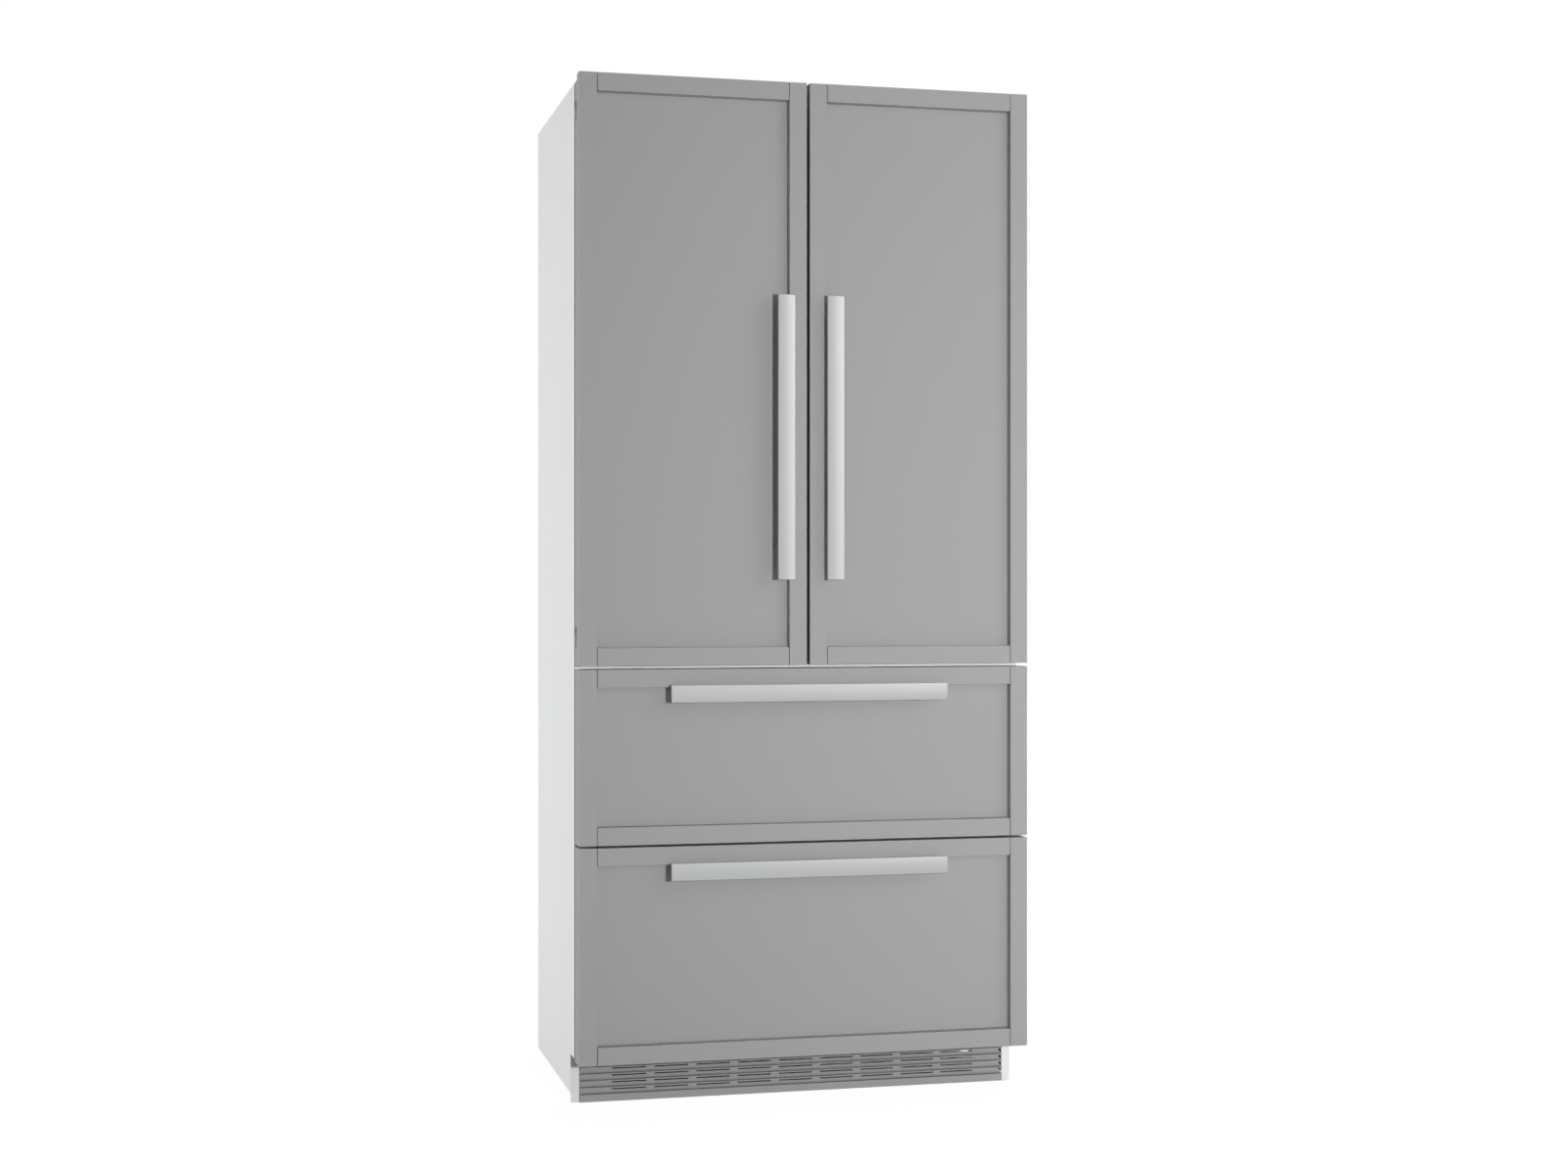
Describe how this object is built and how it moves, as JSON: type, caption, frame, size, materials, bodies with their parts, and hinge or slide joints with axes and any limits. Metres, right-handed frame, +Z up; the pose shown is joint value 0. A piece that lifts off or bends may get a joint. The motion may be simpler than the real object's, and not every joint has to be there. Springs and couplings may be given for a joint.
{
  "type": "built-in french-door refrigerator with drawers",
  "caption": "Tall built-in refrigerator with framed double doors over a middle drawer and a freezer drawer, bar handles and a louvred toe grille.",
  "frame": {"origin": "centre of the footprint (handles included) on the floor", "axes": "+Z up, -Y out of the front, +X to the right when facing the front"},
  "size_m": [0.906, 0.607, 2],
  "materials": {
    "black_can": "satin",
    "body_grey": "satin",
    "brushed_handle": "brushed",
    "coil_metal": "bare",
    "fan_black": "matte",
    "foam": "matte",
    "foot_black": "matte",
    "galvanised": "matte",
    "gasket_grey": "matte",
    "grille_grey": "matte",
    "lacquered_board": "grey satin lacquer",
    "liner_white": "satin",
    "shelf_glass": "clear",
    "steel": "bright",
    "white_sheet": "satin"
  },
  "bodies": {
    "cabinet": {"back_panel": "galvanised", "base_frame": "galvanised", "cabinet_foam": "foam", "ceiling_console": "liner_white", "compressor": "black_can", "condenser": "coil_metal", "cross_rails": "white_sheet", "door_hinges": "steel", "drawer_liner": "liner_white", "duct_cover": "liner_white", "evaporator": "coil_metal", "evaporator_cover": "liner_white", "fan_shroud": "fan_black", "fixing_brackets": "galvanised", "freezer_liner": "liner_white", "fridge_liner": "liner_white", "glass_shelves": "shelf_glass", "machine_cover": "galvanised", "outer_runners": "steel", "outer_wrap": "white_sheet", "plinth_brackets": "white_sheet", "toe_grille": "grille_grey"},
    "left_door": {"left_door_front": "lacquered_board", "left_door_shell": "body_grey", "left_door_liner": "liner_white", "left_door_gasket": "gasket_grey", "left_door_handle": "brushed_handle", "left_door_bins": "liner_white"},
    "right_door": {"right_door_front": "lacquered_board", "right_door_shell": "body_grey", "right_door_liner": "liner_white", "right_door_gasket": "gasket_grey", "right_door_handle": "brushed_handle", "right_door_bins": "liner_white"},
    "centre_mullion": {"mullion_flap": "liner_white"},
    "middle_drawer": {"middle_drawer_front": "lacquered_board", "middle_drawer_shell": "body_grey", "middle_drawer_liner": "liner_white", "middle_drawer_gasket": "gasket_grey", "middle_drawer_handle": "brushed_handle", "middle_drawer_inner_runners": "steel", "middle_drawer_bin": "liner_white"},
    "freezer_drawer": {"freezer_drawer_front": "lacquered_board", "freezer_drawer_shell": "body_grey", "freezer_drawer_liner": "liner_white", "freezer_drawer_gasket": "gasket_grey", "freezer_drawer_handle": "brushed_handle", "freezer_drawer_inner_runners": "steel", "freezer_drawer_bin": "liner_white"},
    "middle_runners": {"middle_drawer_middle_runners": "steel"},
    "freezer_runners": {"freezer_drawer_middle_runners": "steel"},
    "sliding_tray": {"freezer_tray": "liner_white"},
    "left_crisper": {"crisper_left": "liner_white"},
    "right_crisper": {"crisper_right": "liner_white"},
    "condenser_fan_rotor": {"condenser_fan": "fan_black"},
    "evaporator_fan_rotor": {"evaporator_fan": "fan_black"},
    "left_levelling_foot": {"left_foot": "foot_black"},
    "right_levelling_foot": {"right_foot": "foot_black"},
    "left_rear_roller": {"left_roller": "foot_black"},
    "right_rear_roller": {"right_roller": "foot_black"}
  },
  "joints": [
    {"name": "left_door_hinge", "type": "hinge", "parent": "cabinet", "child": "left_door", "pos_m": [-0.44, -0.2345, 0.86], "axis": [0, 0, -1], "range_deg": [0, 105]},
    {"name": "right_door_hinge", "type": "hinge", "parent": "cabinet", "child": "right_door", "pos_m": [0.44, -0.2345, 0.86], "axis": [0, 0, 1], "range_deg": [0, 105]},
    {"name": "mullion_fold", "type": "hinge", "parent": "left_door", "child": "centre_mullion", "pos_m": [-0.032, -0.2072, 0.86], "axis": [0, 0, -1], "range_deg": [0, 90]},
    {"name": "middle_drawer_slide", "type": "slide", "parent": "cabinet", "child": "middle_drawer", "axis": [0, -1, 0], "range_m": [0, 0.33]},
    {"name": "middle_runner_slide", "type": "slide", "parent": "cabinet", "child": "middle_runners", "axis": [0, -1, 0], "range_m": [0, 0.165]},
    {"name": "freezer_drawer_slide", "type": "slide", "parent": "cabinet", "child": "freezer_drawer", "axis": [0, -1, 0], "range_m": [0, 0.24]},
    {"name": "freezer_runner_slide", "type": "slide", "parent": "cabinet", "child": "freezer_runners", "axis": [0, -1, 0], "range_m": [0, 0.12]},
    {"name": "tray_slide", "type": "slide", "parent": "freezer_drawer", "child": "sliding_tray", "axis": [0, 1, 0], "range_m": [0, 0.088]},
    {"name": "left_crisper_slide", "type": "slide", "parent": "cabinet", "child": "left_crisper", "axis": [0, -1, 0], "range_m": [0, 0.088]},
    {"name": "right_crisper_slide", "type": "slide", "parent": "cabinet", "child": "right_crisper", "axis": [0, -1, 0], "range_m": [0, 0.088]},
    {"name": "condenser_fan_spin", "type": "hinge", "parent": "cabinet", "child": "condenser_fan_rotor", "pos_m": [-0.08, 0.2215, 0.115], "axis": [1, 0, 0], "continuous": true},
    {"name": "evaporator_fan_spin", "type": "hinge", "parent": "cabinet", "child": "evaporator_fan_rotor", "pos_m": [0, 0.1135, 0.422], "axis": [0, 1, 0], "continuous": true},
    {"name": "left_foot_screw", "type": "hinge", "parent": "cabinet", "child": "left_levelling_foot", "pos_m": [-0.405, -0.1345, 0], "axis": [0, 0, 1], "continuous": true},
    {"name": "right_foot_screw", "type": "hinge", "parent": "cabinet", "child": "right_levelling_foot", "pos_m": [0.405, -0.1345, 0], "axis": [0, 0, 1], "continuous": true},
    {"name": "left_roller_spin", "type": "hinge", "parent": "cabinet", "child": "left_rear_roller", "pos_m": [-0.41, 0.2645, 0.022], "axis": [1, 0, 0], "continuous": true},
    {"name": "right_roller_spin", "type": "hinge", "parent": "cabinet", "child": "right_rear_roller", "pos_m": [0.41, 0.2645, 0.022], "axis": [1, 0, 0], "continuous": true}
  ],
  "couplings": [
    {"joint": "middle_runner_slide", "follows": "middle_drawer_slide", "ratio": 0.5},
    {"joint": "freezer_runner_slide", "follows": "freezer_drawer_slide", "ratio": 0.5}
  ]
}
